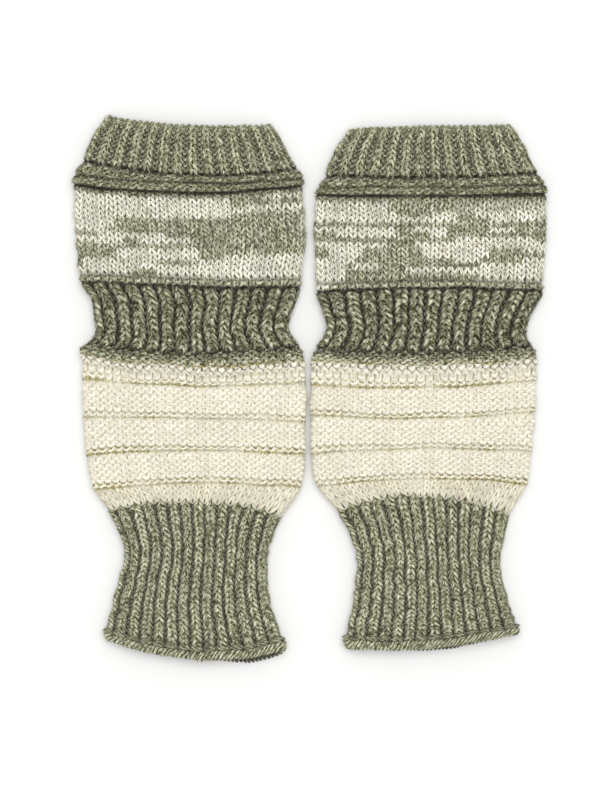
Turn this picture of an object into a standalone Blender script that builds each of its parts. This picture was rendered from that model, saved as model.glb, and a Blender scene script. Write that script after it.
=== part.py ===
# A pair of fingerless knitted gloves, each one tube, laid flat side by side.
# X runs across the pair, Y runs from the wrist ends to the top ribs, and Z is up from the table.
# The origin is the middle of the pair's box, on the table.
import math
from collections import namedtuple

import bpy

# Driving dimensions, in millimetres
PANEL_WALL = 2.0  # each panel's knitting, between its ribs
SLOT = 0.5  # between the upper and the under panel, which lie on each other
THICK = 2 * PANEL_WALL + SLOT  # the flat tube, between its ribs
FOLD_WALL = 2.4  # knitting round the folded sides
FOLD_RUN = 3.0  # how far in from the outline the rounded fold reaches
CROWN = 1.0  # how much higher the upper panel lies in its middle
SEAM_GAP = 0.3  # between one band and the next
METRES = 0.001

# Stitch counts on the face that shows
RIBS = 14
STITCHES = 28
RIB_CREST = 0.52  # share of a rib's pitch that its crest takes
RIB_AT_SEAM = 0.45  # share of a rib's height that is left where its band ends
CHAIN_DIP = 0.35  # share of a chain stitch's height that is left between two stitches
FOLD_SWELL = 0.6  # share of a welt's height that it stands out round the folds
WELT_FULLNESS = 0.7  # under 1, a welt's section is fuller than a sine arch
SHARP_ANGLE = 50  # in degrees, between faces that don't shade smoothly

# How finely the bands are drawn
UNDER_SPANS = 4
INNER_SPANS = 8
PLAIN_SPANS = 16
FOLD_ANGLES = (-54, -18, 18, 54)

# The cross lines of each glove, where one band or one welt meets the next.
# Each runs from its left end through its middle to its right end, as seen from above.
Line = namedtuple("Line", "name left_x left_y mid_y right_x right_y")
GLOVES = {
    "left": (
        Line("top_edge", -91.0, 122.5, 118.5, -15.5, 118.0),
        Line("rib_middle", -96.5, 112.0, 107.5, -10.0, 107.5),
        Line("ridge_start", -101.0, 102.0, 96.5, -4.5, 98.0),
        Line("ridge_middle", -104.5, 95.5, 92.5, -2.5, 94.0),
        Line("ridge_end", -105.5, 91.5, 88.0, -2.5, 90.5),
        Line("marl_middle", -104.0, 68.5, 67.5, -1.0, 68.0),
        Line("marl_end", -101.5, 47.5, 45.0, -3.5, 45.0),
        Line("waist_narrow", -95.5, 28.5, 27.0, -9.5, 28.0),
        Line("waist_end", -102.0, 18.5, 13.5, -2.0, 17.5),
        Line("turn_end", -101.5, 13.5, 7.5, -1.5, 11.0),
        Line("cream_a", -101.0, 4.5, 1.0, -1.5, 3.0),
        Line("cream_b", -99.5, -13.0, -13.5, -1.5, -15.0),
        Line("cream_c", -97.5, -30.0, -28.0, -2.0, -29.5),
        Line("cream_d", -94.0, -45.5, -42.5, -3.5, -44.5),
        Line("cream_end", -88.5, -55.0, -50.5, -12.5, -57.5),
        Line("wrist_narrow", -82.5, -73.0, -72.0, -18.0, -74.5),
        Line("wrist_flare", -87.0, -94.5, -97.0, -17.0, -95.5),
        Line("cast_off_start", -91.0, -109.5, -118.0, -11.0, -114.0),
        Line("cast_off_end", -91.0, -113.5, -122.0, -10.5, -118.0),
    ),
    "right": (
        Line("top_edge", 18.0, 117.5, 117.0, 92.0, 117.5),
        Line("rib_middle", 12.5, 106.0, 105.5, 98.0, 107.0),
        Line("ridge_start", 7.5, 95.0, 94.0, 102.0, 96.0),
        Line("ridge_middle", 5.0, 90.0, 89.5, 105.0, 91.0),
        Line("ridge_end", 3.5, 86.0, 85.5, 106.0, 86.5),
        Line("marl_middle", 3.0, 65.0, 65.0, 106.0, 65.0),
        Line("marl_end", 3.5, 43.0, 44.5, 104.5, 43.5),
        Line("waist_narrow", 8.5, 28.0, 27.0, 97.0, 27.0),
        Line("waist_end", 2.5, 16.0, 13.5, 101.5, 17.0),
        Line("turn_end", 2.0, 10.5, 8.0, 102.0, 11.5),
        Line("cream_a", 1.5, 1.5, 0.5, 101.5, 3.5),
        Line("cream_b", 1.5, -12.0, -13.5, 101.5, -10.5),
        Line("cream_c", 2.0, -29.0, -27.0, 100.0, -28.5),
        Line("cream_d", 4.5, -44.5, -40.5, 98.0, -43.0),
        Line("cream_end", 13.0, -54.5, -48.0, 91.0, -56.5),
        Line("wrist_narrow", 21.5, -74.0, -71.0, 86.5, -77.5),
        Line("wrist_flare", 20.5, -95.5, -95.5, 88.5, -95.5),
        Line("cast_off_start", 16.5, -113.5, -112.5, 94.0, -108.5),
        Line("cast_off_end", 18.0, -118.0, -116.5, 93.5, -112.0),
    ),
}

# The bands, from the top edge down. raised has the height of each stretch from one line to the next.
Band = namedtuple("Band", "name first last stitch raised colour")
BANDS = (
    Band("top_rib", "top_edge", "ridge_start", "rib", (1.3, 1.3), "olive"),
    Band("purl_ridges", "ridge_start", "ridge_end", "welt", (1.6, 1.6), "olive"),
    Band("marl_band", "ridge_end", "marl_end", "plain", (0.4, 0.4), "marl"),
    Band("waist_rib", "marl_end", "waist_end", "rib", (1.7, 1.7), "dark olive"),
    Band("turn_ridge", "waist_end", "turn_end", "welt", (1.3,), "olive"),
    Band("cream_band", "turn_end", "cream_end", "welt", (1.2, 1.6, 1.6, 1.5, 0.5), "cream"),
    Band("wrist_rib", "cream_end", "cast_off_start", "rib", (1.2, 1.2, 1.2), "olive"),
    Band("cast_off_edge", "cast_off_start", "cast_off_end", "chain", (1.2,), "olive"),
)
STEPS = {"rib": 3, "plain": 2, "welt": 4, "chain": 2}  # rings from one line to the next
YARNS = {
    "olive": ((0.27, 0.26, 0.17), 0.9),
    "dark olive": ((0.20, 0.20, 0.12), 0.9),
    "marl": ((0.46, 0.45, 0.34), 0.9),
    "cream": ((0.80, 0.77, 0.66), 0.9),
}


def clear_scene():
    for thing in list(bpy.data.objects):
        bpy.data.objects.remove(thing, do_unlink=True)


def yarn_material(name):
    colour, roughness = YARNS[name]
    material = bpy.data.materials.new(name + " yarn")
    material.use_nodes = True
    shader = material.node_tree.nodes["Principled BSDF"]
    shader.inputs["Base Color"].default_value = (*colour, 1.0)
    shader.inputs["Roughness"].default_value = roughness
    shader.inputs["Metallic"].default_value = 0.0
    return material


def smooth_line(lines, stretch, along):
    """The cross line a share of the way from one line to the next, on a smooth outline through them all."""
    places = [-line.mid_y for line in lines]
    reach = places[stretch + 1] - places[stretch]

    def slope(column, at):
        before, after = max(at - 1, 0), min(at + 1, len(lines) - 1)
        rise = getattr(lines[after], column) - getattr(lines[before], column)
        return rise / (places[after] - places[before])

    def value(column):
        low, high = (getattr(lines[stretch + end], column) for end in (0, 1))
        low_slope, high_slope = (slope(column, stretch + end) * reach for end in (0, 1))
        t, u = along, 1.0 - along
        return u * u * ((1 + 2 * t) * low + t * low_slope) + t * t * ((1 + 2 * u) * high - u * high_slope)

    return Line("between", *(value(column) for column in Line._fields[1:]))


def line_y(line, share):
    """Height on the page of a bowed cross line, a share of the way from its left end."""
    rest = 1.0 - share
    ends = line.left_y * rest * (rest - share) + line.right_y * share * (share - rest)
    return ends + 4.0 * line.mid_y * share * rest


def arch(along):
    """Height of a welt from one drawn-in line to the next, as a share of its full height."""
    return max(math.sin(math.pi * along), 0.0) ** WELT_FULLNESS


def upper_shares(stitch):
    """Where the upper panel's points lie, as shares of its width, from left to right."""
    if stitch == "rib":
        crest = RIB_CREST / 2
        spots = [(rib + part) / RIBS for rib in range(RIBS) for part in (0.0, 0.5 - crest, 0.5 + crest)]
        return spots + [1.0]
    spans = 2 * STITCHES if stitch == "chain" else PLAIN_SPANS
    return [step / spans for step in range(spans + 1)]


def upper_relief(stitch, raised, index, along, at_end):
    """Height of the knitting above the plain panel at one point of the upper panel."""
    if stitch == "rib":
        on_crest = index % 3 != 0
        return raised * (RIB_AT_SEAM if at_end else 1.0) * on_crest
    if stitch == "chain":
        on_stitch = (index + round(2 * along)) % 2  # a step aside at each ring, so the stitches lean
        return raised * (1.0 if on_stitch else CHAIN_DIP) * (1.0 + arch(along)) / 2
    if stitch == "plain":
        return 0.0 if at_end else raised
    return raised * arch(along)


def crown(share):
    return 4.0 * CROWN * share * (1.0 - share)


def outer_profile(line, band, raised, along, at_end):
    """The outside in one section: (x, z, whether over), round from the under panel to the upper one."""
    start, end = line.left_x + FOLD_RUN, line.right_x - FOLD_RUN
    bulge = raised * arch(along) if band.stitch == "welt" else 0.0

    def fold(centre, side):
        """The rounded fold, from its foot up; side is 1 on the right and -1 on the left."""
        points = []
        for angle in FOLD_ANGLES:
            out, up = math.cos(math.radians(angle)), math.sin(math.radians(angle))
            x = centre + side * (FOLD_RUN + FOLD_SWELL * bulge) * out
            points.append((x, THICK / 2 * (1.0 + up) + bulge * max(up, 0.0), up > 0))
        return points

    under = [(start + (end - start) * step / UNDER_SPANS, 0.0, False) for step in range(UNDER_SPANS + 1)]
    upper = []
    for index, share in enumerate(upper_shares(band.stitch)):
        relief = upper_relief(band.stitch, raised, index, along, at_end)
        upper.append((start + (end - start) * share, THICK + crown(share) + relief, True))
    return under + fold(end, 1) + upper[::-1] + fold(start, -1)[::-1]


def inner_profile(line):
    """The plain inside in one section, in the same order as the outside."""
    start, end = line.left_x + FOLD_WALL, line.right_x - FOLD_WALL
    shares = [step / INNER_SPANS for step in range(INNER_SPANS + 1)]
    under = [(start + (end - start) * share, PANEL_WALL, False) for share in shares]
    upper = [(start + (end - start) * share, PANEL_WALL + SLOT + crown(share), True) for share in shares]
    return under + upper[::-1]


def placed(profile, line, shift):
    """A section's points in space, on its bowed cross line."""
    width = line.right_x - line.left_x
    return [(x, line_y(line, (x - line.left_x) / width) + shift, z) for x, z, over in profile]


def turns(profile, line):
    """How far round each point of a section is: 0 to 1 along the under side, 1 to 2 back along the upper side."""
    width = line.right_x - line.left_x
    shares = [(x - line.left_x) / width for x, z, over in profile]
    return [2.0 - share if point[2] else share for share, point in zip(shares, profile)]


def join_rings(faces, first, second, count):
    for at in range(count):
        after = (at + 1) % count
        faces.append((first + at, first + after, second + after, second + at))


def close_end(faces, outer, outer_turns, inner, inner_turns, last):
    """The end of a band's wall: triangles between the outer ring and the coarser inner one."""
    out_count, in_count = len(outer_turns), len(inner_turns)
    out_at = in_at = 0
    while out_at < out_count or in_at < in_count:
        next_out = outer_turns[out_at + 1] if out_at + 1 < out_count else 2.0 + outer_turns[0]
        next_in = inner_turns[in_at + 1] if in_at + 1 < in_count else 2.0 + inner_turns[0]
        corners = [outer + out_at % out_count, inner + in_at % in_count]
        if in_at == in_count or (out_at < out_count and next_out <= next_in):
            out_at += 1
            corners.append(outer + out_at % out_count)
        else:
            in_at += 1
            corners.append(inner + in_at % in_count)
        faces.append(corners[::-1] if last else corners)


def band_mesh(lines, band):
    """Points and faces of one band: a flat tube, open at both ends, with its stitch raised on the upper side."""
    names = [line.name for line in lines]
    lines = lines[names.index(band.first) : names.index(band.last) + 1]
    stretches = len(lines) - 1
    steps = STEPS[band.stitch]
    points, faces, outer_starts, inner_starts = [], [], [], []

    def seam_shift(at, last):
        return -SEAM_GAP / 2 if at == 0 else SEAM_GAP / 2 if at == last else 0.0

    rings = stretches * steps
    for ring in range(rings + 1):
        stretch = min(ring // steps, stretches - 1)
        along = ring / steps - stretch
        line = smooth_line(lines, stretch, along)
        profile = outer_profile(line, band, band.raised[stretch], along, ring in (0, rings))
        outer_starts.append(len(points))
        points += placed(profile, line, seam_shift(ring, rings))
    for at, line in enumerate(lines):
        inner_starts.append(len(points))
        points += placed(inner_profile(line), line, seam_shift(at, stretches))
    outer_count = outer_starts[1]
    inner_count = inner_starts[1] - inner_starts[0]
    for first, second in zip(outer_starts, outer_starts[1:]):
        join_rings(faces, first, second, outer_count)
    for first, second in zip(inner_starts, inner_starts[1:]):
        join_rings(faces, second, first, inner_count)
    for at, last in ((0, False), (-1, True)):
        line = lines[at]
        outer_turns = turns(outer_profile(line, band, 0.0, 0.0, True), line)
        close_end(faces, outer_starts[at], outer_turns, inner_starts[at], turns(inner_profile(line), line), last)
    return points, faces


def pair_middle(meshes):
    """The middle of the whole pair's box, across and along."""
    xs = [point[0] for points, faces in meshes.values() for point in points]
    ys = [point[1] for points, faces in meshes.values() for point in points]
    return (min(xs) + max(xs)) / 2, (min(ys) + max(ys)) / 2


def add_band(name, points, faces, middle, material, collection):
    mesh = bpy.data.meshes.new(name)
    in_metres = [((x - middle[0]) * METRES, (y - middle[1]) * METRES, z * METRES) for x, y, z in points]
    mesh.from_pydata(in_metres, [], faces)
    mesh.validate()
    mesh.materials.append(material)
    mesh.shade_smooth()
    mesh.set_sharp_from_angle(angle=math.radians(SHARP_ANGLE))
    band = bpy.data.objects.new(name, mesh)
    collection.objects.link(band)


def main():
    clear_scene()
    collection = bpy.data.collections.new("knitted_gloves")
    bpy.context.scene.collection.children.link(collection)
    materials = {name: yarn_material(name) for name in YARNS}
    meshes = {}
    colours = {}
    for side, lines in GLOVES.items():
        for band in BANDS:
            name = side + "_" + band.name
            meshes[name] = band_mesh(lines, band)
            colours[name] = band.colour
    middle = pair_middle(meshes)
    for name, (points, faces) in meshes.items():
        add_band(name, points, faces, middle, materials[colours[name]], collection)


main()
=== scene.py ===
# A pair of fingerless knitted gloves laid flat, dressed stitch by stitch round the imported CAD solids.
# Lengths are in millimetres until a mesh is made. Columns run across a face, rows run down the glove.
import math

import bpy
import numpy as np
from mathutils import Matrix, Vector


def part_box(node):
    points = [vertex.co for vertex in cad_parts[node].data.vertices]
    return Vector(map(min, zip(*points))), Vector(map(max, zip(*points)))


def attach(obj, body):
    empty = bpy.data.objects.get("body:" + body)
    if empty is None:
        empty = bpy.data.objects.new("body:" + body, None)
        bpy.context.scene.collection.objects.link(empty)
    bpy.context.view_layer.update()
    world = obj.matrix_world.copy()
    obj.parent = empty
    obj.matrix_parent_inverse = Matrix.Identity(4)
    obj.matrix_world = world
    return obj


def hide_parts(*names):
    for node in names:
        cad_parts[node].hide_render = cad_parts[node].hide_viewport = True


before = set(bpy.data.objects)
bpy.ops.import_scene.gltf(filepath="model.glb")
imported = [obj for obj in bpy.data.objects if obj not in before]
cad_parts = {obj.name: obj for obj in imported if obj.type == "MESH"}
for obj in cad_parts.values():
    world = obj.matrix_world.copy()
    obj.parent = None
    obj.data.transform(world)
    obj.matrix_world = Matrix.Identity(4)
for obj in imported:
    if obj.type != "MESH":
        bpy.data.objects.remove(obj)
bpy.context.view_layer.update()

mm = 0.001
bakeMap = "OFBake"  # the UV map for baking
gloves = ("left", "right")

# The cloth that both gloves are made of
cloth = {
    "faceColumns": 28,  # stitches across the face that shows
    "thickness": 4.5,  # both panels, between their ribs
    "foldRun": 2.6,  # how far in a rounded side reaches
    "crown": 1.0,  # rise in the middle of the upper panel
    "yarnInset": 1.1,  # from the cloth's surface to the middle of its stitches
    "floorGap": 0.03,  # under the lowest yarn
    "creaseShare": 0.85,  # of a furrow's depth, before it comes and goes
    "darkFrom": -1.0,  # depth under the ribs' crests where painted shade on the yarn starts
    "darkRun": 2.4,  # and how much further down it is darkest
    "seed": 7,
}

# How the hand knitting strays: how far, how many columns and rows a wave takes, where it is read in the
# noise, and how far its seed is from the glove's
wander = {
    "columns": (0.12, 2.3, 3.1, 9, 0, 0),
    "columnJitter": (0.07, 1 / 1.3, 1 / 1.1, 4, 7, 3),
    "rows": (0.22, 3.7, 1.9, 5, 0, 1),
    "rowJitter": (0.07, 1 / 1.1, 1 / 1.2, 2, 0, 4),
    "leftSide": (0.45, 1.4, 1, 0, 3, 7),
    "rightSide": (0.45, 1.4, 1, 0, 3, 8),
    "height": (0.25, 1.3, 1.7, 0, 3, 2),
    "creases": (0.4, 4, 2, 13, 0, 6),
    "shades": (1.0, 3.0, 2.0, 0, 0, 0),
    "tan": (0.5, 2.0, 1.5, 0, 0, 0),
    "underside": (0.5, 9.0, 1.1, 0, 0, 33),
}

# Cross lines of the left and the right glove: left end x and y, middle y, right end x and y
crossLines = {
    "topEdge": ((-91.0, 121.0, 116.6, -15.5, 117.3), (18.0, 115.0, 116.0, 92.0, 116.9)),
    "ribMiddle": ((-96.5, 112.0, 106.5, -10.0, 107.5), (12.5, 106.0, 105.5, 98.0, 107.0)),
    "ridgeStart": ((-101.0, 102.0, 95.0, -4.5, 98.0), (7.5, 95.0, 94.0, 103.2, 96.0)),
    "ridgeMiddle": ((-105.0, 95.5, 91.3, -2.5, 94.0), (4.6, 90.0, 89.5, 106.3, 91.0)),
    "ridgeEnd": ((-105.5, 91.0, 86.8, -2.5, 90.5), (3.3, 86.0, 85.5, 107.0, 86.5)),
    "marlMiddle": ((-104.3, 68.5, 67.0, -1.0, 68.0), (2.8, 65.0, 65.0, 107.0, 65.0)),
    "marlEnd": ((-102.8, 47.5, 45.0, -3.5, 45.0), (3.3, 43.0, 44.5, 105.3, 43.5)),
    "waistTop": ((-97.3, 40.0, 38.3, -5.5, 38.5), (5.4, 37.5, 38.3, 103.2, 38.0)),
    "waistNarrow": ((-95.2, 28.5, 27.0, -9.2, 28.0), (9.0, 28.0, 27.0, 98.0, 27.5)),
    "waistLow": ((-96.0, 22.8, 19.8, -6.5, 22.0), (6.3, 21.5, 20.0, 98.2, 22.0)),
    "waistEnd": ((-102.2, 18.3, 13.5, -3.0, 17.0), (2.5, 16.0, 13.5, 101.6, 17.0)),
    "turnEnd": ((-101.8, 14.3, 8.9, -1.6, 12.0), (1.7, 11.7, 9.3, 103.0, 12.6)),
    "creamA": ((-101.3, 4.5, 1.0, -1.1, 3.0), (1.3, 1.5, 0.5, 102.2, 3.5)),
    "creamB": ((-100.8, -13.0, -13.5, -1.0, -15.0), (1.2, -12.0, -13.5, 102.0, -10.5)),
    "creamC": ((-99.6, -30.0, -28.0, -1.4, -29.5), (1.6, -29.0, -27.0, 100.0, -28.5)),
    "creamD": ((-96.2, -45.5, -42.5, -3.0, -44.5), (4.5, -44.5, -40.5, 98.0, -43.0)),
    "creamEnd": ((-89.6, -55.0, -50.5, -12.0, -57.5), (13.0, -54.5, -48.0, 91.0, -56.5)),
    "wristNarrow": ((-82.5, -73.0, -72.0, -18.0, -74.5), (21.5, -74.0, -71.0, 86.5, -77.5)),
    "wristFlare": ((-87.0, -94.5, -97.0, -17.0, -95.5), (20.5, -95.5, -95.5, 89.8, -95.5)),
    "castOffStart": ((-90.6, -109.5, -118.0, -11.0, -114.0), (17.0, -113.0, -112.5, 94.0, -107.5)),
    "castOffEnd": ((-89.4, -113.5, -122.0, -10.5, -118.0), (18.0, -117.3, -116.5, 93.0, -111.2)),
}

# Where the back panel's wrist edge shows under the front one: how far, share of the width, and its spread
backEdge = {"left": (2.6, 0.86, 0.2), "right": (2.0, 0.56, 0.2)}
backRows = 3  # in which it comes down

# The bands from the top edge down. rows and lift have a value for each stretch between two cross lines, and
# pace is how fast the rows beside an inner line follow each other. cell is one stitch's width and height,
# yarn its radius. plies are the yarn's pale, middle and dark fibres, shades how much stitches differ, and
# paintedShade how dark painted shade makes the yarn between its ribs and in its furrows. rib is how high a
# rib's knit columns stand over its purl ones, sink how far those drop, and warp how far the knit columns
# spread over them; its last purlEnd rows are purl. creases are level furrows: row, depth and half width in
# rows. headShift moves a row's heads down.
darkPlies = ((212, 211, 185), (144, 143, 112), (50, 49, 22))
ridgePlies = ((206, 205, 179), (152, 151, 120), (76, 75, 42))
creamPlies = ((247, 243, 227), (240, 235, 217), (222, 216, 195))
oliveYarn = {
    "slot": "olive_marl_yarn", "plies": ((224, 224, 198), (180, 180, 146), (68, 67, 36)), "shades": 0.07,
}
topRib = {
    **oliveYarn, "node": "top_rib", "lines": ("topEdge", "ribMiddle", "ridgeStart"),
    "rows": (4.5, 4.5), "lift": (0.0, 0.0), "stitch": "rib", "rib": 1.5, "sink": 0.4, "warp": 0.10,
    "cell": (3.9, 2.45), "yarn": 0.81, "shades": 0.06, "paintedShade": 0.64,
}
purlRidges = {
    **oliveYarn, "node": "purl_ridges", "lines": ("ridgeStart", "ridgeMiddle", "ridgeEnd"),
    "rows": (2, 2), "lift": (1.2, 1.2), "stitch": "welt",
    "creases": ((-0.02, 2.4, 0.32), (1.95, 2.1, 0.32), (3.95, 2.6, 0.32)),
    "cell": (3.7, 2.15), "yarn": 0.90, "plies": ridgePlies, "paintedShade": 0.95,
}
marlBand = {
    "node": "marl_band", "slot": "patchy_marl_yarn", "lines": ("ridgeEnd", "marlMiddle", "marlEnd"),
    "rows": (9, 9), "lift": (0.4, 0.4), "stitch": "plain", "purlRows": (16,),
    "creases": ((17.4, -0.8, 0.4), (18.05, 2.2, 0.3)),
    "cell": (3.75, 2.4), "yarn": 0.81, "shades": 0.07, "paintedShade": 1.0,
    "plies": ((226, 225, 201), (176, 175, 146), (82, 81, 52)),
    "creamPlies": ((255, 252, 238), (247, 244, 226), (204, 200, 176)),
    # streaks of the paler yarn: first and last row, first and last column, how pale
    "streaks": {
        "left": (
            (1, 4, 0, 18, 1), (5, 6, 0, 4, 1), (7, 7, 0, 3, 1), (3, 3, 18, 27, .8), (1, 1, 23, 27, .5),
            (8, 8, 3, 10, 1), (9, 9, 0, 5, 1), (9, 9, 8, 13, 1), (11, 12, 5, 14, 1), (13, 13, 1, 9, .8),
            (13, 13, 15, 27, 1), (12, 12, 18, 27, 1), (14, 14, 1, 27, 1), (15, 15, 0, 6, 1),
            (15, 15, 10, 27, 1), (5, 7, 27, 27, .6),
        ),
        "right": (
            (1, 2, 0, 8, .8), (1, 2, 17, 27, .4), (3, 3, 0, 9, 1), (3, 3, 19, 27, 1), (3, 3, 14, 16, 1),
            (4, 4, 0, 16, 1), (4, 4, 21, 26, 1), (6, 6, 0, 9, 1), (6, 6, 12, 15, 1), (6, 6, 21, 23, 1),
            (7, 7, 3, 9, 1), (7, 7, 14, 15, 1), (8, 8, 17, 25, 1), (9, 9, 0, 8, 1), (9, 9, 12, 27, 1),
            (10, 11, 2, 5, 1), (10, 11, 13, 20, 1), (10, 10, 25, 27, 1), (12, 12, 0, 4, 1),
            (12, 12, 17, 19, 1), (12, 12, 25, 27, 1), (13, 13, 0, 3, 1), (13, 13, 5, 7, 1),
            (13, 13, 20, 27, 1), (14, 14, 0, 3, 1), (14, 14, 11, 27, 1), (15, 15, 0, 3, 1),
            (15, 15, 20, 27, 1), (16, 17, 0, 1, 1),
        ),
    },
}
waistRib = {
    "node": "waist_rib", "slot": "dark_olive_yarn",
    "lines": ("marlEnd", "waistTop", "waistNarrow", "waistLow", "waistEnd"),
    "rows": (2.4, 3.9, 2.2, 2.5), "lift": (0.0, 0.0, 0.0, 0.0), "stitch": "rib", "rib": 1.9, "sink": 0.8,
    "warp": 0.33, "purlEnd": 1.2, "depth": 0.72,
    "cell": (3.8, 2.85), "yarn": 0.92, "plies": darkPlies, "shades": 0.07, "paintedShade": 1.0,
}
turnRidge = {
    **oliveYarn, "node": "turn_ridge", "lines": ("waistEnd", "turnEnd"),
    "rows": (2,), "lift": (1.1,), "stitch": "welt", "headShift": {1: -0.12},
    "creases": ((0.0, 0.5, 0.3), (1.7, 0.8, 0.16), (2.35, -0.4, 0.25), (2.95, 2.0, 0.24)),
    "cell": (3.6, 2.0), "yarn": 0.88, "paintedShade": 0.8,
    # cream beads: the heads of a row, from how far down, half their width, how much fatter and how round
    "creamPlies": creamPlies, "creamHeads": (1,), "beadTop": 0.9, "beadHalf": 0.42, "beadSwell": 0.4,
    "beadRound": 0.25,
}
creamBand = {
    "node": "cream_band", "slot": "cream_yarn",
    "lines": ("turnEnd", "creamA", "creamB", "creamC", "creamD", "creamEnd"),
    "rows": (2.6, 6, 6, 6, 3.4), "lift": (0.8, 0.8, 0.8, 0.8, 0.5), "stitch": "welt", "pace": 0.6,
    "knitRows": (2, 8, 14, 20, 21, 22, 23), "headShift": {0: 0.2},
    "creases": ((2.6, 0.7, 0.3), (8.6, 0.7, 0.3), (14.6, 0.7, 0.3), (20.6, 0.6, 0.3)),
    "cell": (3.6, 2.5), "yarn": 0.98, "plies": creamPlies, "shades": 0.035, "paintedShade": 0.12,
    "contrast": 0.35,
    # rows with tan legs and how tan, a tint that is partly painted shade in the furrows; the share that is
    # always there, and how many rows down the legs reach
    "tanAndShadeRows": {0: 1.0, 2: 1.0, 8: 1.0, 14: 1.0, 20: 1.0, 21: 0.3, 22: 0.3, 23: 0.3},
    "tanShare": 0.8, "tanReach": 1.05,
    # the tan legs' plies: a tan tint darkened as painted shade
    "tanAndShadePlies": ((206, 197, 150), (168, 158, 108), (108, 98, 56)),
}
wristRib = {
    **oliveYarn, "node": "wrist_rib", "lines": ("creamEnd", "wristNarrow", "wristFlare", "castOffStart"),
    "rows": (9.2, 10.8, 9.0), "lift": (0.0, 0.0, 0.0), "stitch": "rib", "rib": 1.5, "sink": 0.6,
    "warp": 0.30,
    "cell": (3.1, 2.3), "yarn": 0.74, "shades": 0.045, "paintedShade": 1.0,
}
# coil is how far its turns reach down and their radius, lean how far they lean, in turns, turns how many go
# round the glove, place their row, and inset how deep they lie
castOffEdge = {
    **oliveYarn, "node": "cast_off_edge", "lines": ("castOffStart", "castOffEnd"),
    "rows": (1,), "lift": (1.1,), "stitch": "coil", "coil": (2.4, 1.2), "lean": 1.1, "turns": 88,
    "place": 0.45, "inset": 0.7, "cell": (2.9, 4.0), "yarn": 0.57, "paintedShade": 0.8,
}
bands = (topRib, purlRidges, marlBand, waistRib, turnRidge, creamBand, wristRib, castOffEdge)
# The upper half of the cast-off chain leans the other way, and the cast-on edge winds round the top row
castOffChain = {
    **castOffEdge, "beside": castOffEdge, "coil": (1.7, 0.8), "lean": -1.0, "place": -0.55, "inset": -0.3,
}
castOnEdge = {
    **castOffEdge, "node": "top_rib", "beside": topRib, "coil": (0.8, 0.8), "lean": 0.22, "turns": 84,
    "inset": 1.3, "cell": (3.4, 2.45), "yarn": 0.62, "paintedShade": 0.6,
}


def operator(operation, reflected=False):
    def work(self, other):
        return maths(self.tree, operation, *((other, self) if reflected else (self, other)))

    return work


class Wire:
    # one socket of a node tree, which works in Python expressions
    def __init__(self, tree, socket):
        self.tree, self.socket = tree, socket

    def output(self, name):
        return Wire(self.tree, self.socket.node.outputs[name])

    __add__ = __radd__ = operator("ADD")
    __mul__ = __rmul__ = operator("MULTIPLY")
    __sub__, __rsub__ = operator("SUBTRACT"), operator("SUBTRACT", True)
    __truediv__, __rtruediv__ = operator("DIVIDE"), operator("DIVIDE", True)
    __pow__ = operator("POWER")


def add(tree, kind, settings=None, inputs=None, output=0):
    # a node with its settings, then the values or wires of its sockets
    node = tree.nodes.new(kind)
    for name, value in (settings or {}).items():
        setattr(node, name, value)
    for key, value in (inputs or {}).items():
        if isinstance(value, Wire):
            tree.links.new(value.socket, node.inputs[key])
        else:
            node.inputs[key].default_value = value
    return Wire(tree, node.outputs[output])


def maths(tree, operation, *values):
    return add(tree, "ShaderNodeMath", {"operation": operation}, dict(enumerate(values)))


def vectorMaths(tree, operation, inputs):
    return add(tree, "ShaderNodeVectorMath", {"operation": operation}, inputs)


def vector(tree, x, y, z):
    return add(tree, "ShaderNodeCombineXYZ", {}, {"X": x, "Y": y, "Z": z})


def mixed(tree, share, first, second):
    return add(tree, "ShaderNodeMix", {"data_type": "RGBA"}, {0: share, 6: first, 7: second}, 2)


def noise(tree, place, scale, roughness):
    inputs = {"Vector": place, "Scale": scale, "Detail": 2.0, "Roughness": roughness}
    return add(tree, "ShaderNodeTexNoise", {}, inputs)


def attribute(tree, name, output="Fac"):
    return add(tree, "ShaderNodeAttribute", {"attribute_name": name}, output=output)


def linear(colour):
    # a colour as seen in the photograph, 0 to 255, as the light that it gives back
    shares = [part / 255 for part in colour]
    return (*(s / 12.92 if s <= 0.04045 else ((s + 0.055) / 1.055) ** 2.4 for s in shares), 1.0)


def newMaterial(name, finish):
    # a material whose shader has these values all over
    material = bpy.data.materials.new(name)
    material.use_nodes = True
    shader = material.node_tree.nodes["Principled BSDF"]
    for socket, value in finish.items():
        shader.inputs[socket].default_value = value
    return material, material.node_tree, shader


def painted(tree, shader, colour, height=None, strength=0.0, distance=0.0):
    # wires a colour and a relief to a material's shader
    tree.links.new(colour.socket, shader.inputs["Base Color"])
    if height:
        relief = {"Strength": strength, "Distance": distance * mm, "Height": height}
        tree.links.new(add(tree, "ShaderNodeBump", {}, relief).socket, shader.inputs["Normal"])


def newObject(name, data):
    thing = bpy.data.objects.new(name, data)
    bpy.context.scene.collection.objects.link(thing)
    return thing


# How a mesh keeps each kind of value, and how many numbers it has
fields = {"FLOAT": ("value", 1), "FLOAT_VECTOR": ("vector", 3), "FLOAT_COLOR": ("color", 4)}


def read(mesh, name):
    # the value, or the row of them, that each point has
    source = mesh.attributes[name]
    field, width = fields[source.data_type]
    values = np.zeros(len(mesh.vertices) * width, np.float32)
    source.data.foreach_get(field, values)
    return values if width == 1 else values.reshape(-1, width)


def write(mesh, name, values, kind="FLOAT"):
    # sets them, as a new attribute where the mesh has none of this name
    target = mesh.attributes.get(name) or mesh.attributes.new(name, kind, "POINT")
    target.data.foreach_set(fields[target.data_type][0], np.asarray(values, np.float32).ravel())


def writeMap(mesh, places):
    mesh.uv_layers.new(name=bakeMap).data.foreach_set("uv", np.array(places, np.float32).ravel())


noiseCells = 64


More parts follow.
